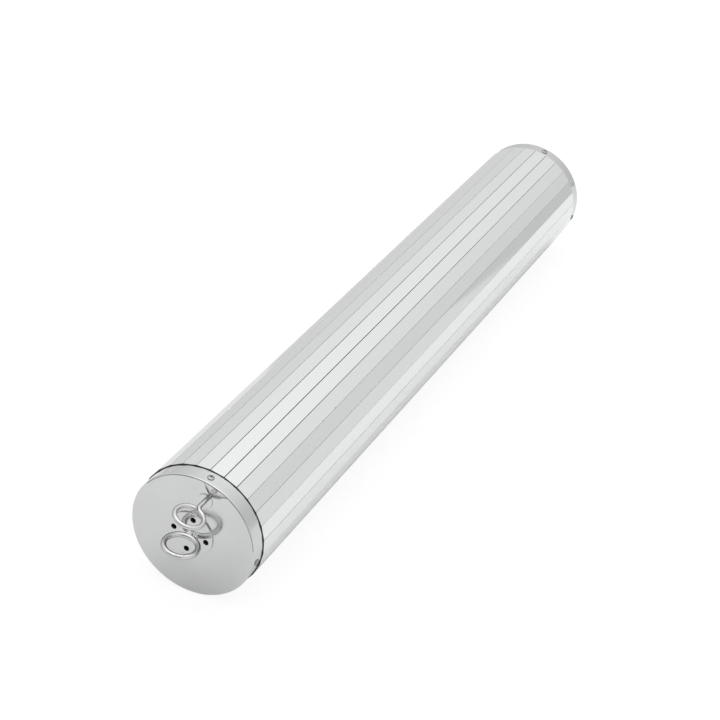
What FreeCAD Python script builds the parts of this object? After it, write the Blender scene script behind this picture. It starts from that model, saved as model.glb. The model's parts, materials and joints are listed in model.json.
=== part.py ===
import FreeCAD, Part
import os

import Sketcher
from FreeCAD import Placement, Rotation, Vector

# A one-metre mirror cylinder, lying on one of its flat mirror strips. The cylinder's axis runs
# along Y: the end with the hanging ring looks to -Y, the plain end to +Y, and Z is up.
#
# Every sub-part is drawn in a local frame whose origin is the middle of its own end of the
# cylinder, with +Y into the cylinder. put() then turns it about the axis and moves it to its end.
# A turn is counted from straight up towards -X, in degrees.

SIZES = {
    # the whole cylinder, over the two caps and over two opposite strips
    "body_length": 1000.0,
    "facet_apothem": 75.0,
    # mirror strips: glass on a thin layer of adhesive
    "strip_count": 28.0,
    "strip_width": 16.35,
    "strip_thickness": 2.25,
    "strip_bevel": 0.15,
    "strip_end_gap": 0.2,
    # the tube that the strips are glued to
    "tube_radius": 72.7,
    "tube_wall": 3.0,
    # pressed sheet-metal caps, and the wooden discs behind them
    "cap_radius": 74.1,
    "cap_sheet": 0.8,
    "cap_skirt": 20.0,
    "cap_corner": 2.0,
    "bulkhead_thickness": 18.0,
    "bulkhead_play": 0.1,
    # hollow in the ring end's disc, into which the safety eye's nut draws the cap's sheet
    "eye_hollow_radius": 14.0,
    "eye_hollow_depth": 1.2,
    # turns of the fittings on the two ends; the ring end's screws are a little off its plate's holes
    "ring_end_turn": -10.1,
    "ring_screw_turn": -11.3,
    "plain_end_turn": -14.4,
    # four self-tapping screws through each skirt
    "screws_per_end": 4.0,
    "screw_station": 10.0,
    "screw_radius": 1.75,
    "screw_length": 14.0,
    "screw_hole_play": 0.05,
    "head_radius": 3.9,
    "head_height": 1.8,
    "head_round": 1.5,
    "recess_length": 3.8,
    "recess_width": 0.8,
    "recess_depth": 1.1,
    # round plate that carries the welded ring; it sits a little off the cylinder's axis
    "plate_across": -2.2,
    "plate_up": 1.3,
    "plate_radius": 27.0,
    "plate_thickness": 2.0,
    "plate_edge": 0.5,
    "plate_hole_radius": 3.2,
    "plate_hole_circle": 39.4,
    # hanging ring, a little off the plate's middle, and the weld bead at its foot
    "ring_turn": -8.2,
    "ring_across": -0.6,
    "ring_radius": 18.0,
    "ring_wire": 3.0,
    "weld_root": 0.6,
    "weld_length": 16.0,
    "weld_width": 9.0,
    "weld_height": 3.4,
    # stud on the plate's back, with its washer and locknut inside the cylinder
    "stud_radius": 4.0,
    "stud_length": 31.0,
    "stud_play": 0.2,
    "stud_washer_radius": 12.0,
    "stud_washer_thickness": 2.0,
    "stud_nut_flats": 13.0,
    "stud_nut_height": 8.0,
    # safety eye: a bent wire with a straight shank
    "eye_turn": -18.8,
    "eye_circle": 60.6,
    "eye_wire": 2.5,
    "eye_radius": 15.6,
    "eye_height": 43.4,
    "eye_neck_bend": 5.0,
    "eye_end_gap": 10.5,
    "eye_shank_inside": 27.0,
    "eye_hole_play": 0.08,
    "eye_washer_radius": 6.0,
    "eye_washer_thickness": 1.0,
    "eye_nut_flats": 8.0,
    "eye_nut_height": 5.0,
    # how the nuts happen to be turned, and the play between stacked parts and around threads
    "nut_turn": 15.0,
    "stack_play": 0.1,
    "thread_play": 0.02,
}

# Expressions that several features share.
AXIS_HEIGHT = "sizes.facet_apothem"
EYE_REACH = "(sizes.eye_height + sizes.eye_radius + sizes.eye_wire)"
STRIP_LENGTH = "sizes.body_length - 2 * (sizes.cap_skirt + sizes.strip_end_gap)"
BULKHEAD_FACE = "(sizes.cap_sheet + sizes.bulkhead_play)"
BULKHEAD_END = f"({BULKHEAD_FACE} + sizes.bulkhead_thickness)"
SCREW_HOLE = "sizes.screw_radius + sizes.screw_hole_play"
RING_SCREW_LEAN = "sizes.ring_end_turn - sizes.ring_screw_turn"

doc = FreeCAD.newDocument("mirror_cylinder")
sheet = doc.addObject("Spreadsheet::Sheet", "sizes")
for row, (alias, length) in enumerate(SIZES.items(), start=1):
    sheet.set(f"A{row}", alias)
    sheet.set(f"B{row}", str(length))
    sheet.setAlias(f"B{row}", alias)
doc.recompute()

subparts = []


def value(expression):
    """The number that an expression of the sheet's sizes gives."""
    return float(sheet.evalExpression(str(expression)))


def put(item, station="0", turn="0", across="0", up="0", plain_end=False):
    """Place an item: across, station and up in the local frame, then the turn, then its own end."""
    ring_face = (value(EYE_REACH) - value("sizes.body_length")) / 2
    end = ring_face + (value("sizes.body_length") if plain_end else 0.0)
    onto_end = Placement(Vector(0, end, value(AXIS_HEIGHT)), Rotation(Vector(0, -1, 0), value(turn)))
    facing = Placement(Vector(), Rotation(Vector(0, 0, 1), 180 if plain_end else 0))
    local = Placement(Vector(value(across), value(station), value(up)), Rotation())
    item.Placement = onto_end * facing * local


def new_body(label):
    body = doc.addObject("PartDesign::Body", label)
    body.Label = label
    return body


def keep(item):
    """Count a finished item as one of the object's sub-parts."""
    subparts.append(item)
    return item


# ---- sketches -------------------------------------------------------------------------------


def origin_feature(body, role):
    return next(f for f in body.Origin.OriginFeatures if f.Role == role)


def new_sketch(body, name, plane, offset=None):
    sketch = body.newObject("Sketcher::SketchObject", name)
    sketch.AttachmentSupport = [(origin_feature(body, plane), "")]
    sketch.MapMode = "FlatFace"
    if offset:
        sketch.AttachmentOffset = offset
    return sketch


def bind(sketch, constraint, name, expression):
    sketch.renameConstraint(sketch.addConstraint(constraint), name)
    sketch.setExpression(f"Constraints.{name}", expression)


def pin(sketch, geometry, point, name, across, up):
    """Hold a point of the sketch at the expressions (across, up)."""
    for kind, expression, axis in (("DistanceX", across, -2), ("DistanceY", up, -1)):
        if expression == "0":
            sketch.addConstraint(Sketcher.Constraint("PointOnObject", geometry, point, axis))
            continue
        held = Sketcher.Constraint(kind, -1, 1, geometry, point, value(expression))
        bind(sketch, held, f"{name}_{kind.lower()}", expression)


def outline(sketch, corners):
    """A closed outline of straight sides through corners given as pairs of expressions."""
    points = [Vector(value(across), value(up), 0) for across, up in corners]
    first = sketch.GeometryCount
    for start, end in zip(points, points[1:] + points[:1]):
        sketch.addGeometry(Part.LineSegment(start, end), False)
    for n, (across, up) in enumerate(corners):
        before = first + (n - 1) % len(corners)
        sketch.addConstraint(Sketcher.Constraint("Coincident", before, 2, first + n, 1))
        pin(sketch, first + n, 1, f"corner{n}", across, up)


def circle(sketch, name, radius, across="0", up="0"):
    centre = Vector(value(across), value(up), 0)
    shape = Part.Circle(centre, Vector(0, 0, 1), value(radius))
    n = sketch.addGeometry(shape, False)
    bind(sketch, Sketcher.Constraint("Radius", n, value(radius)), f"{name}_radius", radius)
    pin(sketch, n, 3, name, across, up)


# ---- features -------------------------------------------------------------------------------


def revolve(body, corners, plane="XY_Plane"):
    """Turn an outline about the upright axis of its sketch."""
    sketch = new_sketch(body, "profile", plane)
    outline(sketch, corners)
    turned = body.newObject("PartDesign::Revolution", "turned")
    turned.Profile = sketch
    turned.ReferenceAxis = (sketch, ["V_Axis"])
    turned.Angle = 360
    doc.recompute()
    return turned


def pad(body, sketch, length, inward=True):
    """Extrude a sketch of the XZ plane: inward is +Y, outward is -Y."""
    raised = body.newObject("PartDesign::Pad", "pad")
    raised.Profile = sketch
    raised.setExpression("Length", length)
    raised.Reversed = inward
    doc.recompute()
    return raised


def round_edges(body, base, radius, wanted):
    """Fillet the circular edges of a feature whose (radius, height along the axis) are wanted."""
    names = []
    for n, edge in enumerate(base.Shape.Edges, start=1):
        if not isinstance(edge.Curve, Part.Circle):
            continue
        centre = edge.Curve.Center
        for wanted_radius, wanted_height, along in wanted:
            height = centre.y if along == "Y" else centre.z
            if abs(edge.Curve.Radius - wanted_radius) < 1e-4 and abs(height - wanted_height) < 1e-4:
                names.append(f"Edge{n}")
    fillet = body.newObject("PartDesign::Fillet", "rounded")
    fillet.Base = (base, names)
    fillet.setExpression("Radius", radius)
    doc.recompute()
    return fillet


def cut_through(body, sketch, inward=True):
    """Cut a sketch through everything on one side of it, and make sure that something went."""
    before = body.Shape.Volume
    pocket = body.newObject("PartDesign::Pocket", "cut")
    pocket.Profile = sketch
    pocket.Type = "ThroughAll"
    pocket.Reversed = not inward
    doc.recompute()
    if not body.Shape.Volume < before - 1.0:
        raise RuntimeError(f"{body.Label}: {sketch.Label} cuts nothing")
    return pocket


def skirt_holes(body, name, station, radius, lean="0"):
    """Four radial holes, one of them straight up or leaning from there by an angle towards +X."""
    offset = Placement(Vector(), Rotation(Vector(0, 1, 0), value(lean)))
    sketch = new_sketch(body, name, "XY_Plane", offset)
    circle(sketch, "hole", radius, "0", station)
    hole = cut_through(body, sketch)
    before = body.Shape.Volume
    pattern = body.newObject("PartDesign::PolarPattern", f"{name}_pattern")
    pattern.Originals = [hole]
    pattern.Axis = (origin_feature(body, "Y_Axis"), [""])
    pattern.Angle = 360
    pattern.Occurrences = int(value("sizes.screws_per_end"))
    body.Tip = pattern
    doc.recompute()
    if not body.Shape.Volume < before - 1.0:
        raise RuntimeError(f"{body.Label}: {name} has only one hole")


def plate_hole_circles(sketch, across="0", up="0"):
    """The plate's four holes, around a centre given as expressions."""
    for n, (x, z) in enumerate(((0, 1), (-1, 0), (0, -1), (1, 0))):
        circle(
            sketch,
            f"bolt{n}",
            "sizes.plate_hole_radius",
            f"{across} + ({x}) * sizes.plate_hole_circle / 2",
            f"{up} + ({z}) * sizes.plate_hole_circle / 2",
        )


def circle_at_eye(sketch, radius):
    """A circle round the safety eye's foot, in a sub-part that is turned with the ring end."""
    lean = "((sizes.ring_end_turn - sizes.eye_turn) * 1 deg)"
    circle(sketch, "eye", radius, f"sizes.eye_circle * sin{lean}", f"sizes.eye_circle * cos{lean}")


def fitting_holes(body, eye_play):
    """The holes of the ring end: four under the plate's holes, the stud's, and the safety eye's."""
    sketch = new_sketch(body, "fitting_holes", "XZ_Plane")
    plate_hole_circles(sketch, "sizes.plate_across", "sizes.plate_up")
    stud = "sizes.stud_radius + sizes.stud_play"
    circle(sketch, "stud", stud, "sizes.plate_across", "sizes.plate_up")
    circle_at_eye(sketch, f"sizes.eye_wire + {eye_play}")
    cut_through(body, sketch)


def eye_hollow(body):
    """A shallow hollow round the safety eye's hole, cut from the disc's face."""
    sketch = new_sketch(body, "eye_hollow", "XZ_Plane")
    circle_at_eye(sketch, "sizes.eye_hollow_radius")
    before = body.Shape.Volume
    hollow = body.newObject("PartDesign::Pocket", "hollow")
    hollow.Profile = sketch
    hollow.setExpression("Length", f"{BULKHEAD_FACE} + sizes.eye_hollow_depth")
    hollow.Reversed = False
    doc.recompute()
    if not body.Shape.Volume < before - 1.0:
        raise RuntimeError(f"{body.Label}: the hollow cuts nothing")


# ---- the cylinder ---------------------------------------------------------------------------


def mirror_strip(n):
    """One flat strip of mirrored glass, its long outer edges bevelled."""
    body = new_body(f"mirror_strip_{n + 1:02d}")
    half = "sizes.strip_width / 2"
    inner = "sizes.facet_apothem - sizes.strip_thickness"
    shoulder = "sizes.facet_apothem - sizes.strip_bevel"
    sketch = new_sketch(body, "section", "XZ_Plane")
    outline(
        sketch,
        [
            (f"-{half}", inner),
            (half, inner),
            (half, shoulder),
            (f"{half} - sizes.strip_bevel", "sizes.facet_apothem"),
            (f"sizes.strip_bevel - {half}", "sizes.facet_apothem"),
            (f"-{half}", shoulder),
        ],
    )
    pad(body, sketch, STRIP_LENGTH)
    station = "sizes.cap_skirt + sizes.strip_end_gap"
    put(body, station, turn=f"{n} * 360 / sizes.strip_count")
    return keep(body)


def core_tube():
    body = new_body("core_tube")
    bore = "sizes.tube_radius - sizes.tube_wall"
    # the tube stops short of the caps' rounded corners
    near = "sizes.cap_corner + sizes.bulkhead_play"
    far = f"sizes.body_length - ({near})"
    revolve(body, [(bore, near), ("sizes.tube_radius", near), ("sizes.tube_radius", far), (bore, far)])
    skirt_holes(body, "ring_end_holes", "sizes.screw_station", SCREW_HOLE)
    plain_station = "sizes.body_length - sizes.screw_station"
    plain_lean = "sizes.ring_screw_turn - sizes.plain_end_turn"
    skirt_holes(body, "plain_end_holes", plain_station, SCREW_HOLE, plain_lean)
    put(body, turn="sizes.ring_screw_turn")
    return keep(body)


def end_cap(label, plain_end):
    """A shallow pan of sheet metal whose skirt goes over the tube."""
    body = new_body(label)
    inner = "sizes.cap_radius - sizes.cap_sheet"
    pan = revolve(
        body,
        [
            ("0", "0"),
            ("sizes.cap_radius", "0"),
            ("sizes.cap_radius", "sizes.cap_skirt"),
            (inner, "sizes.cap_skirt"),
            (inner, "sizes.cap_sheet"),
            ("0", "sizes.cap_sheet"),
        ],
    )
    outer_corner = (value("sizes.cap_radius"), 0.0, "Y")
    inner_corner = (value(inner), value("sizes.cap_sheet"), "Y")
    outside = round_edges(body, pan, "sizes.cap_corner", [outer_corner])
    round_edges(body, outside, "sizes.cap_corner - sizes.cap_sheet", [inner_corner])
    if not plain_end:
        fitting_holes(body, "sizes.eye_hole_play")
    lean = "0" if plain_end else RING_SCREW_LEAN
    skirt_holes(body, "screw_holes", "sizes.screw_station", SCREW_HOLE, lean)
    turn = "sizes.plain_end_turn" if plain_end else "sizes.ring_end_turn"
    put(body, turn=turn, plain_end=plain_end)
    return keep(body)


def bulkhead(label, plain_end):
    """A wooden disc in the tube's mouth, which the cap's screws bite into."""
    body = new_body(label)
    rim = "sizes.tube_radius - sizes.tube_wall - sizes.bulkhead_play"
    near = BULKHEAD_FACE
    revolve(body, [("0", near), (rim, near), (rim, BULKHEAD_END), ("0", BULKHEAD_END)])
    if not plain_end:
        fitting_holes(body, "2 * sizes.eye_hole_play")
        eye_hollow(body)
    lean = "0" if plain_end else RING_SCREW_LEAN
    skirt_holes(body, "screw_holes", "sizes.screw_station", SCREW_HOLE, lean)
    turn = "sizes.plain_end_turn" if plain_end else "sizes.ring_end_turn"
    put(body, turn=turn, plain_end=plain_end)
    return keep(body)


# ---- fasteners ------------------------------------------------------------------------------


def cap_screw(label, turn, plain_end):
    """A round-head self-tapping screw that points at the axis, with a cross recess."""
    body = new_body(label)
    top = "sizes.cap_radius + sizes.head_height"
    tip = "sizes.cap_radius - sizes.screw_length"
    blank = revolve(
        body,
        [
            ("0", top),
            ("sizes.head_radius", top),
            ("sizes.head_radius", "sizes.cap_radius"),
            ("sizes.screw_radius", "sizes.cap_radius"),
            ("sizes.screw_radius", f"{tip} + sizes.screw_radius"),
            ("0", tip),
        ],
        plane="XZ_Plane",
    )
    crown = (value("sizes.head_radius"), value(top), "Z")
    round_edges(body, blank, "sizes.head_round", [crown])
    arm = "sizes.recess_length / 2"
    half = "sizes.recess_width / 2"
    corners = []
    for x, y in ((1, 1), (-1, 1), (-1, -1), (1, -1)):
        on_x_arm = (f"({x}) * {arm}", f"({y}) * {half}")
        notch = (f"({x}) * {half}", f"({y}) * {half}")
        on_y_arm = (f"({x}) * {half}", f"({y}) * {arm}")
        corners += [on_x_arm, notch, on_y_arm] if x == y else [on_y_arm, notch, on_x_arm]
    sketch = new_sketch(body, "recess", "XY_Plane", Placement(Vector(0, 0, value(top)), Rotation()))
    outline(sketch, corners)
    recess = body.newObject("PartDesign::Pocket", "cross")
    recess.Profile = sketch
    recess.setExpression("Length", "sizes.recess_depth")
    doc.recompute()
    put(body, "sizes.screw_station", turn=turn, plain_end=plain_end)
    return body


def cap_screws(label, turn, plain_end):
    """The screws of one cap, together in one node."""
    count = int(value("sizes.screws_per_end"))
    group = doc.addObject("Part::Compound", label)
    group.Label = label
    group.Links = [
        cap_screw(f"{label}_{n + 1}", f"{turn} + {n} * 360 / sizes.screws_per_end", plain_end)
        for n in range(count)
    ]
    return keep(group)


def washer(label, station, hole, rim, thickness, **place):
    body = new_body(label)
    revolve(body, [(hole, "0"), (rim, "0"), (rim, thickness), (hole, thickness)])
    put(body, station, **place)
    return keep(body)


def locknut(label, station, bore, flats, height, **place):
    body = new_body(label)
    sketch = new_sketch(body, "hexagon", "XZ_Plane")
    to_corner = f"{flats} / 2 / cos(30 deg)"
    turns = [f"({60 * n} + sizes.nut_turn) * 1 deg" for n in range(6)]
    outline(sketch, [(f"{to_corner} * cos({turn})", f"{to_corner} * sin({turn})") for turn in turns])
    circle(sketch, "bore", bore)
    pad(body, sketch, height)
    put(body, station, **place)
    return keep(body)


# ---- hanging ring ---------------------------------------------------------------------------


def ring_plate():
    body = new_body("ring_plate")
    sketch = new_sketch(body, "disc", "XZ_Plane")
    circle(sketch, "rim", "sizes.plate_radius")
    plate_hole_circles(sketch)
    disc = pad(body, sketch, "sizes.plate_thickness", inward=False)
    rim = (value("sizes.plate_radius"), -value("sizes.plate_thickness"), "Y")
    round_edges(body, disc, "sizes.plate_edge", [rim])
    put(body, **ON_PLATE)
    return keep(body)


def hanging_ring():
    """A closed ring that stands on edge on the plate, in a plane through the axis."""
    ring = doc.addObject("Part::Torus", "hanging_ring")
    ring.Label = "hanging_ring"
    ring.setExpression("Radius1", "sizes.ring_radius")
    ring.setExpression("Radius2", "sizes.ring_wire")
    middle = "sizes.plate_thickness + sizes.weld_root + sizes.ring_radius + sizes.ring_wire"
    put(ring, f"-({middle})", **ON_RING)
    return keep(ring)


def ring_weld(ring):
    """The bead between plate and ring: half of an ellipsoid, less the ring."""
    bead = doc.addObject("Part::Ellipsoid", "weld_bead")
    bead.setExpression("Radius1", "sizes.weld_height")
    bead.setExpression("Radius2", "sizes.weld_length / 2")
    bead.setExpression("Radius3", "sizes.weld_width / 2")
    bead.Angle1 = 0
    put(bead, "-sizes.plate_thickness", **ON_RING)
    outward = Placement(Vector(), Rotation(Vector(1, 0, 0), 90))
    bead.Placement = bead.Placement * outward
    weld = doc.addObject("Part::Cut", "ring_weld")
    weld.Label = "ring_weld"
    weld.Base = bead
    weld.Tool = ring
    return keep(weld)


def ring_stud():
    body = new_body("ring_stud")
    tip = "sizes.stud_length"
    revolve(
        body,
        [
            ("0", "0"),
            ("sizes.stud_radius", "0"),
            ("sizes.stud_radius", f"{tip} - 1"),
            ("sizes.stud_radius - 1", tip),
            ("0", tip),
        ],
    )
    put(body, **ON_PLATE)
    return keep(body)


# ---- safety eye -----------------------------------------------------------------------------


def safety_eye_bolt():
    """One wire: a straight shank, a neck bent to the side, and an open eye back to the neck."""
    body = new_body("safety_eye_bolt")
    bend = value("sizes.eye_neck_bend")
    radius = value("sizes.eye_radius")
    inside = value("sizes.eye_shank_inside")
    eye = Vector(0, -value("sizes.eye_height"), 0)
    # the neck's arc touches the shank's line and the outside of the eye's circle
    neck_out = (radius**2 + 2 * radius * bend) ** 0.5
    neck = Vector(bend, eye.y + neck_out, 0)
    foot_of_bend = Vector(0, neck.y, 0)
    join = eye + (neck - eye) * (radius / (radius + bend))
    halfway_out = (foot_of_bend - neck) + (join - neck)
    on_neck = neck + halfway_out.normalize() * bend
    to_end = Rotation(Vector(0, 0, 1), value("sizes.eye_end_gap"))
    wire_end = eye + to_end.multVec(Vector(0, radius, 0))
    far_side = eye - Vector(0, radius, 0)

    path = new_sketch(body, "bent_wire", "XY_Plane")
    shank = path.addGeometry(Part.LineSegment(Vector(0, inside, 0), foot_of_bend), False)
    neck_arc = path.addGeometry(Part.Arc(foot_of_bend, on_neck, join), False)
    eye_arc = path.addGeometry(Part.Arc(join, far_side, wire_end), False)
    pin(path, shank, 1, "shank_end", "0", "sizes.eye_shank_inside")
    path.addConstraint(Sketcher.Constraint("PointOnObject", shank, 2, -2))
    path.addConstraint(Sketcher.Constraint("Tangent", shank, 2, neck_arc, 1))
    path.addConstraint(Sketcher.Constraint("Tangent", neck_arc, 2, eye_arc, 2))
    bind(path, Sketcher.Constraint("Radius", neck_arc, bend), "neck_bend", "sizes.eye_neck_bend")
    bind(path, Sketcher.Constraint("Radius", eye_arc, radius), "eye_radius", "sizes.eye_radius")
    pin(path, eye_arc, 3, "eye_middle", "0", "-sizes.eye_height")
    gap = "-sizes.eye_radius * sin(sizes.eye_end_gap * 1 deg)"
    bind(path, Sketcher.Constraint("DistanceX", -1, 1, eye_arc, 1, value(gap)), "wire_end", gap)
    start = Placement(Vector(0, 0, -inside), Rotation())
    section = new_sketch(body, "wire_section", "XZ_Plane", start)
    circle(section, "wire", "sizes.eye_wire")
    pipe = body.newObject("PartDesign::AdditivePipe", "wire")
    pipe.Profile = section
    pipe.Spine = path
    doc.recompute()
    put(body, **ON_EYE)
    return keep(body)


# ---- assembly -------------------------------------------------------------------------------

ON_PLATE = {
    "turn": "sizes.ring_end_turn",
    "across": "sizes.plate_across",
    "up": "sizes.plate_up",
}
ON_RING = {"turn": "sizes.ring_turn", "across": "sizes.ring_across", "up": "sizes.plate_up"}
ON_EYE = {"turn": "sizes.eye_turn", "up": "sizes.eye_circle"}

core_tube()
for strip in range(int(value("sizes.strip_count"))):
    mirror_strip(strip)
for end, is_plain, screw_turn in (
    ("ring_end", False, "sizes.ring_screw_turn"),
    ("plain_end", True, "sizes.plain_end_turn"),
):
    end_cap(f"{end}_cap", is_plain)
    bulkhead(f"{end}_bulkhead", is_plain)
    cap_screws(f"{end}_screws", screw_turn, is_plain)

ring_plate()
ring_weld(hanging_ring())
ring_stud()
washer(
    "stud_washer",
    BULKHEAD_END,
    "sizes.stud_radius + sizes.stud_play",
    "sizes.stud_washer_radius",
    "sizes.stud_washer_thickness",
    **ON_PLATE,
)
locknut(
    "stud_locknut",
    f"{BULKHEAD_END} + sizes.stud_washer_thickness",
    "sizes.stud_radius + sizes.thread_play",
    "sizes.stud_nut_flats",
    "sizes.stud_nut_height",
    **ON_PLATE,
)

safety_eye_bolt()
washer(
    "eye_washer",
    BULKHEAD_END,
    "sizes.eye_wire + sizes.eye_hole_play",
    "sizes.eye_washer_radius",
    "sizes.eye_washer_thickness",
    **ON_EYE,
)
locknut(
    "eye_locknut",
    f"{BULKHEAD_END} + sizes.eye_washer_thickness + sizes.stack_play",
    "sizes.eye_wire + sizes.thread_play",
    "sizes.eye_nut_flats",
    "sizes.eye_nut_height",
    **ON_EYE,
)

doc.recompute()

# ---- checks and export ----------------------------------------------------------------------

for item in doc.Objects:
    if "Invalid" in item.State or "Error" in item.State:
        raise RuntimeError(f"{item.Label} failed: {item.State}")

os.makedirs("parts", exist_ok=True)
for item in subparts:
    shape = item.Shape
    if shape.isNull() or not shape.isValid():
        raise RuntimeError(f"{item.Label} has no valid shape")
    shape.exportStep(f"parts/{item.Label}.step")
    box = shape.BoundBox
    print(f"{item.Label:22s} {len(shape.Solids)} solids  {shape.Volume:12.1f} mm3  "
          f"Y {box.YMin:8.2f} to {box.YMax:8.2f}  Z {box.ZMin:7.2f} to {box.ZMax:7.2f}")
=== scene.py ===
import json
import math
import random

import bpy
from mathutils import Matrix, Quaternion, Vector, geometry, noise


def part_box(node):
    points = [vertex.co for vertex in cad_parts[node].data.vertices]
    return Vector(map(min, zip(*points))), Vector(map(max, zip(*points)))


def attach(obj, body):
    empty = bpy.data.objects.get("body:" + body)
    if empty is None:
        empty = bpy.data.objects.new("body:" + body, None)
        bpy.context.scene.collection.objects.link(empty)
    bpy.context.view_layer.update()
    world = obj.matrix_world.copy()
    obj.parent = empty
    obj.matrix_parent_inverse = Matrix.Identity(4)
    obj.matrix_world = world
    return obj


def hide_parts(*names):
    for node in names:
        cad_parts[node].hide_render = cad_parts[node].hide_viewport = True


# A one-metre mirror cylinder on a pale floor, seen from the end with the hanging ring.
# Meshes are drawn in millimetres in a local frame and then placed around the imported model.

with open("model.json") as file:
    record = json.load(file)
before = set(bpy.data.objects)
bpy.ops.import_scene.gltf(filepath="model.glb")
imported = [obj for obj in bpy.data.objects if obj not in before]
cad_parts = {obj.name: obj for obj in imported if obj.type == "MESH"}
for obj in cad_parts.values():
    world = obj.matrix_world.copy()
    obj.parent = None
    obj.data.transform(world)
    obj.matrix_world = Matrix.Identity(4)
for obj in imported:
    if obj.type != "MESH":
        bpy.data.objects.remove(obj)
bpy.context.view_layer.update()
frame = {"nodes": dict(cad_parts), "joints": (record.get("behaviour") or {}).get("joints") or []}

MM = 0.001
TAU = 2 * math.pi

# ---- places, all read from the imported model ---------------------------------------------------

cap_low, cap_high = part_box("ring_end_cap")
RING_FACE = cap_low.y
PLAIN_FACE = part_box("plain_end_cap")[1].y
AXIS_HEIGHT = (cap_low.z + cap_high.z) / 2
CAP_RADIUS = (cap_high.x - cap_low.x) / 2 / MM
CAP_SKIRT = (cap_high.y - cap_low.y) / MM

strip_low, strip_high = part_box("mirror_strip_01")
APOTHEM = (strip_high.z - AXIS_HEIGHT) / MM
STRIP_WIDTH = (strip_high.x - strip_low.x) / MM
STRIP_THICKNESS = (strip_high.z - strip_low.z) / MM
STRIP_START = (strip_low.y - RING_FACE) / MM
STRIP_END = (strip_high.y - RING_FACE) / MM
STRIP_NODES = sorted(n for n in frame["nodes"] if n.startswith("mirror_strip_"))

plate_low, plate_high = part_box("ring_plate")
PLATE_CENTRE = (plate_low + plate_high) / 2
PLATE_RADIUS = (plate_high.x - plate_low.x) / 2 / MM
PLATE_THICKNESS = (plate_high.y - plate_low.y) / MM

ring_low, ring_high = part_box("hanging_ring")
RING_CENTRE = (ring_low + ring_high) / 2

EYE_FOOT = Vector(frame["joints"][0]["pos_m"])
EYE_TOP = (RING_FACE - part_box("safety_eye_bolt")[0].y) / MM
EYE_SHANK_INSIDE = (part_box("safety_eye_bolt")[1].y - RING_FACE) / MM

# ---- sizes of the shapes, in millimetres and degrees -------------------------------------------
# They are the CAD part's, apart from a few that follow the photo more closely: the joints between
# strips, the recess's width, the plate's eased edge, the ring's radius, and the eye's neck and end.

RING_END_TURN = -10.1
RING_SCREW_TURN = -11.3
PLAIN_END_TURN = -14.4
RING_TURN = -8.2
EYE_TURN = -18.8

STRIP_BEVEL = 0.15
# A strip's own tilt on its glue, as a slope, and how far its face may sink below true.
STRIP_TILT = 0.002
STRIP_SINK = 0.02
STRIP_STATIONS = 24
# Chips in a strip's edges: how many, how far from its ends, and how large.
CHIP_COUNT = (1, 3)
CHIP_MARGIN = 8
CHIP_SIZE = (0.5, 1.3)
# A chip in a strip's edge: (place along it, depth), both as shares of its size.
CHIP_SHAPE = ((-1.0, 0.0), (-0.5, 0.7), (0.1, 1.0), (0.6, 0.5), (1.0, 0.0))
# The joints between strips at the ring end: most nearly closed, and those that the photo shows more
# open, named by the strip before them, counted from 0. They close by a share towards the plain end.
CLOSED_JOINT = (0.08, 0.22)
OPEN_JOINTS = {21: 0.42, 22: 0.2, 23: 0.42, 24: 0.42, 25: 0.75, 26: 0.95, 27: 0.74, 0: 0.48, 1: 0.5, 2: 0.4}
JOINT_CLOSING = 0.35
CAP_SHEET = 0.8
SCREW_STATION = 10.0
SCREW_RADIUS = 1.75
SCREW_LENGTH = 14.0
THREAD_DEPTH = 0.3
THREAD_TURNS = 10
THREAD_START = 1.2
THREAD_END = 11.5
HEAD_RADIUS = 3.9
HEAD_HEIGHT = 1.8
HEAD_RIM = 0.12
SEAT_CHAMFER = 0.08
SHANK_PLAY = 0.1
RECESS_LENGTH = 3.8
RECESS_WIDTH = 0.9
RECESS_DEPTH = 1.1
# The part of the recess whose walls get painted shade: how far out, from which height, and how far below the
# crown.
RECESS_SHADE_PAINT = (0.6 * RECESS_LENGTH, 0.2, 0.12)
HOLE_PLAY = 0.05
PLATE_EDGE = 0.4
PLATE_HOLE_RADIUS = 3.2
PLATE_HOLE_CIRCLE = 39.4
RING_RADIUS = 18.2
RING_WIRE = 3.0
RING_WOBBLE = 0.03
WELD_LENGTH = 16.0
WELD_WIDTH = 9.0
WELD_HEIGHT = 3.4
WELD_LUMP = 0.22
STUD_HOLE_RADIUS = 4.2
EYE_WIRE = 2.5
EYE_RADIUS = 15.6
EYE_NECK_BEND = 8.5
EYE_END_GAP = 6.5
EYE_HOLE_RADIUS = 2.58
EYE_WOBBLE = 0.02
WIRE_SIDES = 32

# ---- the camera, at the photograph's viewing angle ---------------------------------------------

CAMERA_AZIMUTH = 22.908
CAMERA_ELEVATION = 30.365
CAMERA_ROLL = 4.646
CAMERA_DISTANCE = 2.37681
CAMERA_LENS = 97.03
CAMERA_AIM = Vector((0, -0.05381, 0.08141))


# ---- materials ---------------------------------------------------------------------------------

# How wide the soft edge of the painted shade round the bores in the wood is, in millimetres.
BORE_SHADE_EDGE = 2.0


def new_material(name, metallic=0.0, roughness=0.5, **constant):
    """A Principled material, its constant values set on the shader's own sockets."""
    material = bpy.data.materials.new(name)
    material.use_nodes = True
    shader = material.node_tree.nodes["Principled BSDF"]
    shader.inputs["Metallic"].default_value = metallic
    shader.inputs["Roughness"].default_value = roughness
    for socket, setting in constant.items():
        shader.inputs[socket.replace("_", " ").title()].default_value = setting
    return material


def add_node(material, kind, **inputs):
    """A node of the material; each input is a value or another node's socket."""
    tree = material.node_tree
    node = tree.nodes.new(kind)
    for name, given in inputs.items():
        socket = node.inputs[name.replace("_", " ").title()]
        if isinstance(given, bpy.types.NodeSocket):
            tree.links.new(given, socket)
        else:
            socket.default_value = given
    return node


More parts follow.
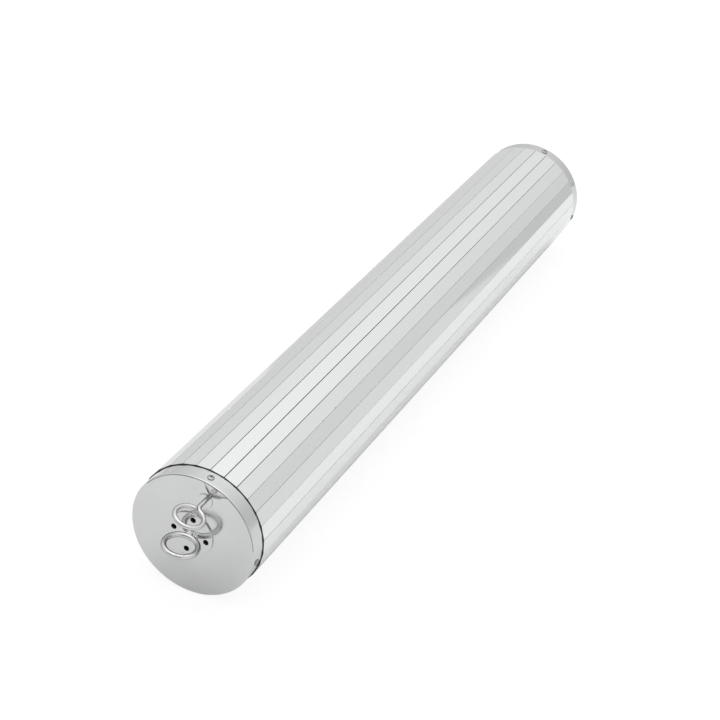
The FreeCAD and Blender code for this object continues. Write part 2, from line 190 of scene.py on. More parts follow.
def object_position(material, scale=(1, 1, 1)):
    """The surface's place in the row frame, stretched by a scale along each axis."""
    coordinates = add_node(material, "ShaderNodeTexCoord")
    mapping = add_node(material, "ShaderNodeMapping", Vector=coordinates.outputs["Object"])
    mapping.inputs["Scale"].default_value = scale
    return mapping.outputs["Vector"]


def noise_pattern(material, scale, detail=3.0, stretch=(1, 1, 1)):
    """A noise with values round 0.5, in the row frame."""
    place = object_position(material, stretch)
    pattern = add_node(material, "ShaderNodeTexNoise", Vector=place, Scale=scale, Detail=detail)
    return pattern.outputs["Fac"]


def ramp(material, factor, stops):
    """A colour for each value of factor: stops are (place, colour) pairs."""
    node = add_node(material, "ShaderNodeValToRGB", Fac=factor)
    colours = node.color_ramp.elements
    while len(colours) < len(stops):
        colours.new(0.5)
    for element, (place, colour) in zip(colours, stops):
        element.position = place
        element.color = (*colour, 1)
    return node.outputs["Color"]


def spread(material, factor, low, high, from_low=0.3, from_high=0.7):
    """Map a pattern onto a range of values."""
    node = material.node_tree.nodes.new("ShaderNodeMapRange")
    material.node_tree.links.new(factor, node.inputs["Value"])
    node.inputs["From Min"].default_value = from_low
    node.inputs["From Max"].default_value = from_high
    node.inputs["To Min"].default_value = low
    node.inputs["To Max"].default_value = high
    return node.outputs["Result"]


def shades(material, factor, low, high):
    """Colour the surface between two colours by a pattern."""
    shader = material.node_tree.nodes["Principled BSDF"]
    colour = ramp(material, factor, [(0.3, low), (0.7, high)])
    material.node_tree.links.new(colour, shader.inputs["Base Color"])


def rough_between(material, factor, low, high):
    """Vary the roughness between two values by a pattern."""
    shader = material.node_tree.nodes["Principled BSDF"]
    material.node_tree.links.new(spread(material, factor, low, high), shader.inputs["Roughness"])


def bumpy(material, height, distance, strength=1.0):
    """Raise the surface by a pattern; distance is in metres."""
    bump = material.node_tree.nodes.new("ShaderNodeBump")
    bump.inputs["Strength"].default_value = strength
    bump.inputs["Distance"].default_value = distance
    material.node_tree.links.new(height, bump.inputs["Height"])
    shader = material.node_tree.nodes["Principled BSDF"]
    material.node_tree.links.new(bump.outputs["Normal"], shader.inputs["Normal"])


def mirror_glass():
    """Silvered float glass: a faint green cast, fine speckle and a little haze from dust."""
    material = new_material("mirror_glass", metallic=1.0, roughness=0.03)
    speckle = noise_pattern(material, 420, detail=2.0)
    haze = noise_pattern(material, 14, detail=4.0, stretch=(1, 0.3, 1))
    shades(material, speckle, (0.775, 0.795, 0.785), (0.815, 0.83, 0.822))
    rough_between(material, haze, 0.02, 0.07)
    bumpy(material, speckle, 0.00001, 0.15)
    return material


def glass_edge():
    """Cut glass edges: dark green with a dull sheen."""
    material = new_material("glass_edge", roughness=0.35)
    cut = noise_pattern(material, 900, detail=3.0)
    shades(material, cut, (0.012, 0.016, 0.014), (0.05, 0.06, 0.055))
    rough_between(material, cut, 0.25, 0.5)
    bumpy(material, cut, 0.0002, 0.4)
    return material


def polished_sheet(name, low, high):
    """Polished sheet metal: soft reflections, faint rolling lines and handling marks."""
    material = new_material(name, metallic=1.0, roughness=0.12)
    lines = noise_pattern(material, 60, detail=5.0, stretch=(0.12, 1, 3))
    marks = noise_pattern(material, 25, detail=4.0)
    shades(material, marks, low, high)
    rough_between(material, marks, 0.07, 0.14)
    bumpy(material, lines, 0.00003, 0.12)
    return material


def painted_shade_walls():
    """The walls of punched holes, of the screws' recesses and of the caps' sheet edges: dull steel, coloured
    near black as painted shade in them.
    """
    material = new_material("painted_shade_walls", metallic=0.6, roughness=0.6)
    grain = noise_pattern(material, 700, detail=3.0)
    shades(material, grain, (0.008, 0.008, 0.008), (0.03, 0.03, 0.03))
    bumpy(material, grain, 0.0002, 0.5)
    return material


def plated_steel(name, low, high, rough_low, rough_high, grain=300, edge=1.0):
    """Bright plated steel with fine grain and small patches of duller plating.

    An edge below 1 dulls it where it is seen at a grazing angle."""
    material = new_material(name, metallic=1.0, roughness=rough_low, specular_tint=(edge, edge, edge, 1))
    patches = noise_pattern(material, grain / 5, detail=4.0)
    fine = noise_pattern(material, grain, detail=3.0)
    shades(material, patches, low, high)
    rough_between(material, patches, rough_low, rough_high)
    bumpy(material, fine, 0.0001, 0.08)
    return material


def weld_steel():
    """A plated weld bead: bright and lumpy, darker in its hollows and lighter on its crests, by the same
    pattern as its lumps.
    """
    material = new_material("weld_steel", metallic=1.0, roughness=0.25)
    lumps = noise_pattern(material, 420, detail=3.0)
    shader = material.node_tree.nodes["Principled BSDF"]
    hollow_tone, bead, crest = (0.12, 0.12, 0.12), (0.8, 0.8, 0.79), (0.88, 0.88, 0.87)
    colour = ramp(material, lumps, [(0.3, hollow_tone), (0.45, bead), (0.7, crest)])
    material.node_tree.links.new(colour, shader.inputs["Base Color"])
    rough_between(material, lumps, 0.35, 0.18)
    bumpy(material, lumps, 0.0008, 0.6)
    return material


def tube_plastic():
    """Grey rigid plastic pipe, drawn marks along its length."""
    material = new_material("tube_plastic", roughness=0.5)
    drawn = noise_pattern(material, 200, detail=3.0, stretch=(1, 0.05, 1))
    shades(material, drawn, (0.06, 0.062, 0.065), (0.10, 0.102, 0.105))
    rough_between(material, drawn, 0.4, 0.6)
    bumpy(material, drawn, 0.0002, 0.2)
    return material


def vector_math(tree, operation, first, second):
    """A vector sum, product or distance of a socket and a constant."""
    node = tree.nodes.new("ShaderNodeVectorMath")
    node.operation = operation
    tree.links.new(first, node.inputs[0])
    node.inputs[1].default_value = second
    return node


def painted_bore_shade(material):
    """Painted shade: dark near the plate's middle, where the bores of its stud and holes are, and white
    elsewhere.
    """
    tree = material.node_tree
    place = add_node(material, "ShaderNodeTexCoord").outputs["Object"]
    flat = vector_math(tree, "MULTIPLY", place, (1, 0, 1))
    away = vector_math(tree, "DISTANCE", flat.outputs["Vector"], (PLATE_CENTRE.x, 0, PLATE_CENTRE.z))
    reach = (PLATE_HOLE_CIRCLE / 2 + 2 * PLATE_HOLE_RADIUS) * MM
    share = spread(material, away.outputs["Value"], 0, 1, reach - BORE_SHADE_EDGE * MM, reach)
    return ramp(material, share, [(0.0, (0.02, 0.014, 0.01)), (1.0, (1, 1, 1))])


def plywood():
    """Birch plywood: thin plies across the cylinder's axis, with painted shade round the bores."""
    material = new_material("plywood", roughness=0.7)
    tree = material.node_tree
    plies = tree.nodes.new("ShaderNodeTexWave")
    plies.bands_direction = "Y"
    tree.links.new(object_position(material), plies.inputs["Vector"])
    plies.inputs["Scale"].default_value = 110.0
    plies.inputs["Distortion"].default_value = 1.5
    pale = ramp(material, plies.outputs["Fac"], [(0.2, (0.36, 0.25, 0.14)), (0.7, (0.62, 0.48, 0.31))])
    mixed = tree.nodes.new("ShaderNodeMix")
    mixed.data_type = "RGBA"
    mixed.blend_type = "MULTIPLY"
    mixed.inputs["Factor"].default_value = 1.0
    tree.links.new(pale, mixed.inputs["A"])
    tree.links.new(painted_bore_shade(material), mixed.inputs["B"])
    tree.links.new(mixed.outputs["Result"], tree.nodes["Principled BSDF"].inputs["Base Color"])
    grain = noise_pattern(material, 150, detail=4.0, stretch=(1, 1, 0.1))
    bumpy(material, grain, 0.0004, 0.4)
    return material


MIRROR = mirror_glass()
GLASS_EDGE = glass_edge()
SHEET = polished_sheet("polished_sheet", (0.60, 0.61, 0.605), (0.64, 0.65, 0.645))
# Painted shade: the polished sheet coloured darker, for dark lines along the fold and the eye's creases.
PAINTED_CREASE_SHADE = polished_sheet("painted_crease_shade", (0.24, 0.24, 0.24), (0.30, 0.30, 0.30))
PAINTED_SHADE_WALLS = painted_shade_walls()
RING_STEEL = plated_steel("ring_steel", (0.56, 0.56, 0.555), (0.64, 0.64, 0.635), 0.10, 0.18, edge=0.1)
SCREW_STEEL = plated_steel(
    "screw_steel", (0.36, 0.36, 0.355), (0.46, 0.46, 0.45), 0.14, 0.24, grain=500, edge=0.0
)
ZINC_STEEL = plated_steel("zinc_steel", (0.58, 0.59, 0.61), (0.68, 0.69, 0.70), 0.25, 0.4)
WELD_STEEL = weld_steel()
TUBE_PLASTIC = tube_plastic()
PLYWOOD = plywood()


# ---- mesh helpers ------------------------------------------------------------------------------


def end_frame(turn, plain_end=False):
    """An end's local frame: origin amid its face, +Y into the cylinder, turned about the axis."""
    face = PLAIN_FACE if plain_end else RING_FACE
    spin = Matrix.Rotation(math.radians(turn), 4, Vector((0, -1, 0)))
    facing = Matrix.Rotation(math.pi if plain_end else 0, 4, "Z")
    return Matrix.Translation((0, face, AXIS_HEIGHT)) @ spin @ facing @ Matrix.Scale(MM, 4)


def frame_at(origin, turn):
    """A local frame at a point of the ring end, turned as end_frame is."""
    spin = Matrix.Rotation(math.radians(turn), 4, Vector((0, -1, 0)))
    return Matrix.Translation(origin) @ spin @ Matrix.Scale(MM, 4)


def new_piece(name, points, faces, place, materials, node, body="cylinder", face_material=None):
    """A mesh piece in its place, riding on a body and standing for its CAD node."""
    mesh = bpy.data.meshes.new(name)
    mesh.from_pydata([Vector(p) for p in points], [], faces)
    mesh.transform(place)
    for material in materials:
        mesh.materials.append(material)
    if face_material:
        mesh.polygons.foreach_set("material_index", face_material)
    mesh.validate()
    mesh.update()
    piece = bpy.data.objects.new(name, mesh)
    bpy.context.scene.collection.objects.link(piece)
    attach(piece, body)
    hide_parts(node)
    return piece


def smooth(piece, sharp_angle=35):
    """Shade smooth, apart from edges sharper than an angle in degrees."""
    piece.data.shade_smooth()
    piece.data.set_sharp_from_angle(angle=math.radians(sharp_angle))


def circle_points(radius, count, centre=(0, 0)):
    """Points on a circle of the flat plane, the first one to the right."""
    angles = (TAU * n / count for n in range(count))
    return [Vector((centre[0] + radius * math.cos(a), centre[1] + radius * math.sin(a))) for a in angles]


def triangulate(outline, holes, inside):
    """Triangles between an outline and its round holes, through the points given inside."""
    points, edges, loop_numbers = [], [], []
    for number, loop in enumerate([outline, *holes]):
        first = len(points)
        points += loop
        loop_numbers += [number] * len(loop)
        edges += [(first + n, first + (n + 1) % len(loop)) for n in range(len(loop))]
    inside_outline = 1
    found = geometry.delaunay_2d_cdt(points + inside, edges, [], inside_outline, 1e-5)
    flat, triangles, sources = found[0], found[2], found[3]
    loops = [loop_numbers[s[0]] if s and s[0] < len(loop_numbers) else 0 for s in sources]
    # a triangle whose corners are all on one hole's outline lies in that hole
    kept = [t for t in triangles if not (loops[t[0]] == loops[t[1]] == loops[t[2]] > 0)]
    return flat, kept


def two_skins(triangles, count):
    """Faces of a front skin, and of a back skin whose points follow the front's count points."""
    return [tuple(t) for t in triangles] + [tuple(count + v for v in reversed(t)) for t in triangles]


def rim_edges(triangles):
    """The edges that only one triangle has, in a fixed order."""
    sides = {}
    for t in triangles:
        for side in zip(t, (*t[1:], t[0])):
            sides[side] = True
    return [(a, b) for a, b in sides if (b, a) not in sides]


def tube_along(path, side, radius, closed=False, wobble=0.0, seed=0):
    """Points and faces of a round wire along a flat path; side is square to the path's plane."""
    points, faces = [], []
    count = len(path)
    for n, centre in enumerate(path):
        before = path[n - 1] if closed or n else path[0]
        after = path[(n + 1) % count] if closed or n + 1 < count else path[-1]
        forward = (after - before).normalized()
        across = side.cross(forward)
        for m in range(WIRE_SIDES):
            angle = TAU * m / WIRE_SIDES
            out = math.cos(angle) * across + math.sin(angle) * side
            uneven = wobble * noise.noise(centre * 0.35 + out * 0.8 + Vector((seed, 0, 0)))
            points.append(centre + (radius + uneven) * out)
    last = count if closed else count - 1
    for n in range(last):
        for m in range(WIRE_SIDES):
            here, there = n * WIRE_SIDES, (n + 1) % count * WIRE_SIDES
            turn = (m + 1) % WIRE_SIDES
            faces.append((here + m, here + turn, there + turn, there + m))
    return points, faces


def arc(centre, radius, start, end, steps):
    """Points on an arc of the local XY plane, angles in degrees."""
    angles = (math.radians(start + (end - start) * n / steps) for n in range(steps + 1))
    return [centre + radius * Vector((math.cos(a), math.sin(a), 0)) for a in angles]


# ---- mirror strips -----------------------------------------------------------------------------


def strip_sections(draw):
    """How far along the strip its sections are, in millimetres, and how deep its edges are chipped
    there: each chip is (left or right, depth)."""
    length = STRIP_END - STRIP_START
    plain = [length * n / STRIP_STATIONS for n in range(STRIP_STATIONS + 1)]
    chips = {}
    for _ in range(draw.randint(*CHIP_COUNT)):
        place = draw.uniform(CHIP_MARGIN, length - CHIP_MARGIN)
        size = draw.uniform(*CHIP_SIZE)
        side = draw.choice((-1, 1))
        for step, depth in CHIP_SHAPE:
            chips[place + step * size] = (side, depth * size / 2)
    stations = sorted(set(plain) | set(chips))
    return [(station, chips.get(station, (1, 0.0))) for station in stations]


def joint_width(before):
    """How wide the joint after a strip is."""
    draw = random.Random(100 + before)
    return OPEN_JOINTS.get(before, draw.uniform(*CLOSED_JOINT))


def strip_outline(left, right, sink, nick):
    """A strip's section, from its back's left corner: half widths at its face, sink, and chips' depths."""
    back = STRIP_WIDTH / 2
    return [
        (-back, APOTHEM - STRIP_THICKNESS),
        (back, APOTHEM - STRIP_THICKNESS),
        (right - nick[1] / 2, APOTHEM - STRIP_BEVEL - nick[1]),
        (right - STRIP_BEVEL - nick[1], APOTHEM - sink),
        (-left + STRIP_BEVEL + nick[-1], APOTHEM - sink),
        (-left + nick[-1] / 2, APOTHEM - STRIP_BEVEL - nick[-1]),
    ]


def mirror_strip(index, node):
    """A long strip of mirror glass, glued on a hair out of true, with a few small chips.

    Its sides lean outwards from the CAD's width at the back to the joints at the front."""
    draw = random.Random(index)
    count = len(STRIP_NODES)
    back = STRIP_WIDTH / 2
    pitch = APOTHEM * math.tan(math.pi / count)
    tilt = draw.uniform(-STRIP_TILT, STRIP_TILT)
    points, faces, material_index = [], [], []
    sections = strip_sections(draw)
    for station, (chipped, depth) in sections:
        share = station / (STRIP_END - STRIP_START)
        closing = 1 - JOINT_CLOSING * share
        left = pitch - joint_width(index) * closing / 2
        right = pitch - joint_width((index - 1) % count) * closing / 2
        sink = STRIP_SINK * (1 + math.sin(3 * math.pi * share + index))
        nick = {side: depth if side == chipped else 0.0 for side in (-1, 1)}
        for across, up in strip_outline(left, right, sink, nick):
            at_face = up > APOTHEM - STRIP_THICKNESS / 2
            lowered = tilt * (across - back * math.copysign(1, tilt)) if at_face else 0.0
            points.append((across, STRIP_START + station, up + lowered))
    corners = 6
    mirrored = {2, 3, 4}
    for n in range(len(sections) - 1):
        for m in range(corners):
            here, there = n * corners, (n + 1) * corners
            turn = (m + 1) % corners
            faces.append((here + m, there + m, there + turn, here + turn))
            material_index.append(0 if m in mirrored else 1)
    last = (len(sections) - 1) * corners
    faces.append(tuple(range(corners)))
    faces.append(tuple(last + m for m in reversed(range(corners))))
    material_index += [1, 1]
    return new_piece(
        f"{node}_glass",
        points,
        faces,
        end_frame(index * 360 / count),
        [MIRROR, GLASS_EDGE],
        node,
        face_material=material_index,
    )


for strip_index, strip_node in enumerate(STRIP_NODES):
    mirror_strip(strip_index, strip_node)


# ---- end caps ----------------------------------------------------------------------------------

FOLD_LENGTH = 2.4
FOLD_STEPS = 24
FOLD_EASE = 1.7


def fold_profile():
    """The fold's outline as (run inwards from the rim, depth): gentle at the face, tight at the rim."""
    step = FOLD_LENGTH / FOLD_STEPS
    run, depth = 0.0, 0.0
    profile = [(run, depth)]
    for n in range(FOLD_STEPS):
        bent = math.pi / 2 * ((n + 0.5) / FOLD_STEPS) ** FOLD_EASE
        run += step * math.cos(bent)
        depth += step * math.sin(bent)
        profile.append((run, depth))
    return profile


FOLD = fold_profile()
FOLD_RUN, FOLD_DEPTH = FOLD[-1]
FLAT_RADIUS = CAP_RADIUS - FOLD_RUN
SKIRT_LENGTH = CAP_SKIRT - FOLD_DEPTH
SHEET_RADIUS = FLAT_RADIUS + FOLD_LENGTH + SKIRT_LENGTH
DIMPLE_RADIUS = 13.0
DIMPLE_DEPTH = 0.9
# Creases that run out from the eye's foot: (path from the foot, half width, depth, half width of the
# painted shade line along it).
EYE_CREASES = (
    (((0, 0), (-9.5, 12.5), (-15.0, 19.5)), 1.6, 0.8, 0.6),
    (((0, 0), (9.2, 3.2), (17.0, 6.8), (24.0, 10.0)), 2.3, 1.1, 1.2),
    (((0, 0), (-0.2, 4.2), (2.4, 7.2), (1.6, 9.5)), 0.8, 0.4, 0.35),
    (((0, 0), (-4.1, -1.2), (-8.1, -2.0), (-10.9, -4.3), (-12.6, -8.4)), 0.9, 0.45, 0.3),
    (((0, 0), (2.5, -4.2), (4.4, -7.4), (4.4, -12.6), (2.4, -17.4)), 0.9, 0.6, 0.45),
)
CREASE_REACH = 24.0
CREASE_START = 4.0
# Creases are shallower past the hollow in the wooden disc: (where that starts, where it ends, share left).
CREASE_SHALLOW = (11.0, 15.0, 0.45)
# A thin line of painted shade at the start of the fold: radii on the flat sheet, and its arc.
FOLD_LINE = (FLAT_RADIUS, FLAT_RADIUS + 1.0)
FOLD_LINE_ARC = (math.radians(14), math.radians(150))
# How the flat sheet is divided into rings of points: the step between rings, their points' spacing
# and least number, and past which radius they all have the full number.
SHEET_STEP = 3.0
SHEET_SPACING = 2.5
SHEET_LEAST = 12
SHEET_FULL_FROM = 60.0
SHEET_AROUND = 256
FOLD_RINGS = 12
SKIRT_RINGS = 9
# Round the eye's foot: the finer rings, and how far short of the fold the coarse and the fine ones end.
FINE_STEP = 0.42
FINE_AROUND = 144
COARSE_CLEAR = 0.3
FINE_CLEAR = 0.4
# Slow waves from pressing: how high they are and how long, and for the skirt how long across it.
FACE_WAVE = 0.06
FACE_WAVELENGTH = 34
SKIRT_WAVE = 0.12
SKIRT_WAVELENGTH = 16
SKIRT_WAVE_ACROSS = 9


def away_from(point, start, end):
    """A point's distance from a stretch of a path, and how far along the stretch it is nearest."""
    along = end - start
    share = min(max((point - start).dot(along) / along.length_squared, 0.0), 1.0)
    return (point - start - share * along).length, share


def crease_marks(offset):
    """How deep the creases are at an offset from the eye's foot, and whether shade is painted on the sheet
    there.
    """
    deepest, shade_painted = 0.0, False
    if offset.length > CREASE_REACH:
        return deepest, shade_painted
    start_at, end_at, share_left = CREASE_SHALLOW
    past = min(max((offset.length - start_at) / (end_at - start_at), 0.0), 1.0)
    shallow = 1 - (1 - share_left) * past
    for path, half_width, depth, shade_width in EYE_CREASES:
        stops = [Vector(p) for p in path]
        stretches = list(zip(stops, stops[1:]))
        for n, (start, end) in enumerate(stretches):
            distance, share = away_from(offset, start, end)
            along = (n + share) / len(stretches)
            fade = shallow * min(1.0, offset.length / CREASE_START) * (1 - along**3)
            deepest = max(deepest, depth * fade * math.exp(-((distance / half_width) ** 2)))
            shade_painted = shade_painted or distance < shade_width * (1 - along**4)
    return deepest, shade_painted


def gets_crease_shade(point, foot):
    """Whether the flat sheet gets painted shade at a point: on the fold line, or along the eye's creases."""
    run = point.length
    if FOLD_LINE[0] < run < FOLD_LINE[1]:
        return FOLD_LINE_ARC[0] < math.atan2(point.y, point.x) < FOLD_LINE_ARC[1]
    return foot is not None and run < FOLD_LINE[1] and crease_marks(point - foot)[1]


def face_dent(across, up, foot, seed):
    """How far the sheet of a cap's face is pushed in: slow waves, and drawn in round the eye."""
    wave = FACE_WAVE * (1 + noise.noise(Vector((across / FACE_WAVELENGTH, up / FACE_WAVELENGTH, seed))))
    if foot is None:
        return wave
    offset = Vector((across, up)) - foot
    away = min(offset.length / DIMPLE_RADIUS, 1.0)
    return wave + DIMPLE_DEPTH * (1 - away * away) ** 2 + crease_marks(offset)[0]


def cap_surface(point, foot, seed):
    """Where a point of the flat sheet is once the cap's skirt is folded over."""
    run = point.length
    angle = math.atan2(point.y, point.x)
    past_flat = run - FLAT_RADIUS
    if past_flat <= 0:
        radius, depth = run, 0.0
    elif past_flat < FOLD_LENGTH:
        place = past_flat / FOLD_LENGTH * FOLD_STEPS
        before = int(place)
        share = place - before
        (run_0, depth_0), (run_1, depth_1) = FOLD[before], FOLD[min(before + 1, FOLD_STEPS)]
        radius = FLAT_RADIUS + run_0 + share * (run_1 - run_0)
        depth = depth_0 + share * (depth_1 - depth_0)
    else:
        radius = CAP_RADIUS
        depth = FOLD_DEPTH + past_flat - FOLD_LENGTH
    fold = min(max(past_flat / FOLD_LENGTH, 0.0), 1.0)
    fold = fold * fold * (3 - 2 * fold)
    across, up = radius * math.cos(angle), radius * math.sin(angle)
    dent = (1 - fold) * face_dent(across, up, foot, seed)
    length = SKIRT_WAVELENGTH
    ripple = noise.noise(Vector((across / length, up / length, depth / SKIRT_WAVE_ACROSS + seed + 5)))
    squeeze = 1 - fold * SKIRT_WAVE * (1 + ripple) / CAP_RADIUS
    return Vector((across * squeeze, depth + dent, up * squeeze))


def cap_normal(point, foot, seed, step=0.05):
    """The outward normal of the folded sheet."""
    run = point.normalized() if point.length > 1e-6 else Vector((1, 0))
    turn = Vector((-run.y, run.x))
    along = cap_surface(point + run * step, foot, seed) - cap_surface(point - run * step, foot, seed)
    around = cap_surface(point + turn * step, foot, seed) - cap_surface(point - turn * step, foot, seed)
    return along.cross(around).normalized()


def screw_hole_outlines(hole_radius, lean):
    """The four skirt holes, drawn on the flat sheet; lean is how far they are turned on it."""
    middle = FLAT_RADIUS + FOLD_LENGTH + SCREW_STATION - FOLD_DEPTH
    outlines = []
    for n in range(4):
        top = math.radians(90 + lean + 90 * n)
        loop = []
        for offset in circle_points(hole_radius, 24):
            angle = top + offset.x / CAP_RADIUS
            run = middle + offset.y
            loop.append(Vector((run * math.cos(angle), run * math.sin(angle))))
        outlines.append(loop)
    return outlines


def outside(point, loop, margin=0.35):
    """Whether a point is clear of a round hole given by its outline."""
    centre = sum(loop, Vector((0, 0))) / len(loop)
    reach = max((p - centre).length for p in loop)
    return (point - centre).length > reach + margin


def sheet_points(holes, foot):
    """Points spread over the flat sheet, closer together at the fold and round the eye's foot."""
    runs = [SHEET_STEP * n for n in range(1, int(FLAT_RADIUS / SHEET_STEP))]
    runs += [FLAT_RADIUS + FOLD_LENGTH * n / FOLD_RINGS for n in range(FOLD_RINGS + 1)]
    runs += [FLAT_RADIUS + FOLD_LENGTH + SKIRT_LENGTH * n / SKIRT_RINGS for n in range(1, SKIRT_RINGS)]
    spread_points = [Vector((0.01, 0.0))]
    for run in runs:
        fitting = max(SHEET_LEAST, int(TAU * run / SHEET_SPACING))
        spread_points += circle_points(run, SHEET_AROUND if run > SHEET_FULL_FROM else fitting)
    if foot is not None:
        rim = FLAT_RADIUS - COARSE_CLEAR
        spread_points = [p for p in spread_points if (p - foot).length > CREASE_REACH or p.length > rim]
        for ring in range(1, int((CREASE_REACH - EYE_HOLE_RADIUS) / FINE_STEP)):
            fine = circle_points(EYE_HOLE_RADIUS + FINE_STEP * ring, FINE_AROUND, foot)
            spread_points += [p for p in fine if p.length < FLAT_RADIUS - FINE_CLEAR]
    return [p for p in spread_points if all(outside(p, hole) for hole in holes)]


def ring_end_holes(place):
    """The eye's foot on the ring end's sheet, and the holes there for the eye, the stud and the plate."""
    local_foot = place.inverted() @ EYE_FOOT
    foot = Vector((local_foot.x, local_foot.z))
    local_plate = place.inverted() @ PLATE_CENTRE
    middle = Vector((local_plate.x, local_plate.z))
    holes = [circle_points(EYE_HOLE_RADIUS, 32, foot), circle_points(STUD_HOLE_RADIUS, 32, middle)]
    for centre in circle_points(PLATE_HOLE_CIRCLE / 2, 4):
        holes.append(circle_points(PLATE_HOLE_RADIUS, 40, middle + centre))
    return foot, holes


def end_cap(node, plain_end):
    """A pan of thin polished sheet with rounded fold, waves from pressing, and punched holes."""
    turn = PLAIN_END_TURN if plain_end else RING_END_TURN
    place = end_frame(turn, plain_end)
    lean = 0.0 if plain_end else RING_SCREW_TURN - RING_END_TURN
    holes = screw_hole_outlines(SCREW_RADIUS + HOLE_PLAY, lean)
    foot = None
    if not plain_end:
        foot, more_holes = ring_end_holes(place)
        holes += more_holes
    flat, triangles = triangulate(circle_points(SHEET_RADIUS, SHEET_AROUND), holes, sheet_points(holes, foot))
    seed = 3.0 if plain_end else 0.0
    outer = [cap_surface(p, foot, seed) for p in flat]
    normals = [cap_normal(p, foot, seed) for p in flat]
    inner = [p - n * CAP_SHEET for p, n in zip(outer, normals)]
    faces = two_skins(triangles, len(outer))
    walls = [(b, a, len(outer) + a, len(outer) + b) for a, b in rim_edges(triangles)]
    middles = [sum((flat[v] for v in t), Vector((0, 0))) / 3 for t in triangles]
    # Triangles on the fold line and along the eye's creases are coloured darker as painted shade.
    kinds = [2 if gets_crease_shade(m, foot) else 0 for m in middles]
    # The walls, in the holes and round the sheet's edge, are coloured near black as painted shade.
    kinds += [0] * len(triangles) + [1] * len(walls)
    piece = new_piece(
        f"{node}_sheet",
        outer + inner,
        faces + walls,
        place,
        [SHEET, PAINTED_SHADE_WALLS, PAINTED_CREASE_SHADE],
        node,
        face_material=kinds,
    )
    smooth(piece, 50)
    return piece


end_cap("ring_end_cap", False)
end_cap("plain_end_cap", True)


# ---- cap screws --------------------------------------------------------------------------------


def lathe(profile, around=48):
    """Turn a profile of (radius, height) pairs about the local Z axis; it starts and ends on it."""
    points = [Vector((0, 0, profile[0][1]))]
    for radius, height in profile[1:-1]:
        points += [Vector((p.x, p.y, height)) for p in circle_points(radius, around)]
    points.append(Vector((0, 0, profile[-1][1])))
    faces = [(0, 1 + (m + 1) % around, 1 + m)[::-1] for m in range(around)]
    for n in range(len(profile) - 3):
        for m in range(around):
            here, there = 1 + n * around, 1 + (n + 1) * around
            turn = (m + 1) % around
            faces.append((here + m, there + m, there + turn, here + turn))
    base, tip = 1 + (len(profile) - 3) * around, len(points) - 1
    faces += [(base + m, tip, base + (m + 1) % around) for m in range(around)]
    return points, faces


def screw_profile():
    """Half the outline of a round-head screw, its head's seat at height 0."""
    steps = 12
    angles = (math.pi / 2 * n / steps for n in range(steps))
    profile = [(HEAD_RADIUS * math.sin(a), HEAD_HEIGHT * math.cos(a)) for a in angles]
    profile += [(HEAD_RADIUS, HEAD_RIM), (HEAD_RADIUS - SEAT_CHAMFER, 0.0), (SCREW_RADIUS - SHANK_PLAY, 0.0)]
    root = SCREW_RADIUS - THREAD_DEPTH
    pitch = (THREAD_END - THREAD_START) / THREAD_TURNS
    for n in range(THREAD_TURNS):
        top = -THREAD_START - pitch * n
        profile += [(root, top), (SCREW_RADIUS, top - 0.4 * pitch), (root, top - 0.8 * pitch)]
    return [*profile, (0, -SCREW_LENGTH)]


def recess_cutter():
    """A tapered cross, which cuts the recess into a screw's head."""
    arm, half = RECESS_LENGTH / 2, RECESS_WIDTH / 2
    cross, quarter = [], [(arm, half), (half, half), (half, arm)]
    for _ in range(4):
        cross += quarter
        quarter = [(-y, x) for x, y in quarter]
    corners = len(cross)
    points = []
    for taper, height in ((0.7, HEAD_HEIGHT - RECESS_DEPTH), (1.15, HEAD_HEIGHT + 1)):
        points += [(taper * x, taper * y, height) for x, y in cross]
    faces = [tuple(reversed(range(corners))), tuple(range(corners, 2 * corners))]
    for m in range(corners):
        turn = (m + 1) % corners
        faces.append((m, turn, corners + turn, corners + m))
    return points, faces


def scratch_object(name, points, faces):
    """An object that only lives while a mesh is cut."""
    mesh = bpy.data.meshes.new(name)
    mesh.from_pydata(points, [], faces)
    item = bpy.data.objects.new(name, mesh)
    bpy.context.scene.collection.objects.link(item)
    return item


def screw_mesh():
    """One round-head screw with a cross recess."""
    screw = scratch_object("screw_blank", *lathe(screw_profile()))
    cutter = scratch_object("recess_cutter", *recess_cutter())
    cut = screw.modifiers.new("recess", "BOOLEAN")
    cut.operation = "DIFFERENCE"
    cut.solver = "EXACT"
    cut.object = cutter
    graph = bpy.context.evaluated_depsgraph_get()
    finished = bpy.data.meshes.new_from_object(screw.evaluated_get(graph))
    bpy.data.objects.remove(screw)
    bpy.data.objects.remove(cutter)
    return finished


def gets_recess_shade(point):
    """Whether a point of the screw is on the part of its cross recess's walls that gets painted shade."""
    out = Vector((point.x, point.y)).length
    crown = HEAD_HEIGHT * math.sqrt(max(1 - (out / HEAD_RADIUS) ** 2, 0))
    reach, lowest, below_crown = RECESS_SHADE_PAINT
    return out < reach and lowest < point.z < crown - below_crown


def cap_screws(node, turn, plain_end, screw):
    """The four screws of one cap as one piece."""
    points, faces, kinds = [], [], []
    draw = random.Random(node)
    corners = [v.co.copy() for v in screw.vertices]
    # Faces on these recess walls are coloured near black as painted shade.
    recess_shade = [int(gets_recess_shade(p.center)) for p in screw.polygons]
    for n in range(4):
        seat = Matrix.Translation((0, SCREW_STATION, CAP_RADIUS))
        twist = Matrix.Rotation(draw.uniform(0, TAU / 4), 4, "Z")
        onto = Matrix.Rotation(n * TAU / 4, 4, Vector((0, -1, 0))) @ seat @ twist
        first = len(points)
        points += [onto @ c for c in corners]
        faces += [tuple(first + v for v in p.vertices) for p in screw.polygons]
        kinds += recess_shade
    piece = new_piece(
        f"{node}_round_head",
        points,
        faces,
        end_frame(turn, plain_end),
        [SCREW_STEEL, PAINTED_SHADE_WALLS],
        node,
        face_material=kinds,
    )
    smooth(piece, 40)
    return piece


SCREW = screw_mesh()
cap_screws("ring_end_screws", RING_SCREW_TURN, False, SCREW)
cap_screws("plain_end_screws", PLAIN_END_TURN, True, SCREW)


# ---- plate, ring and weld ----------------------------------------------------------------------


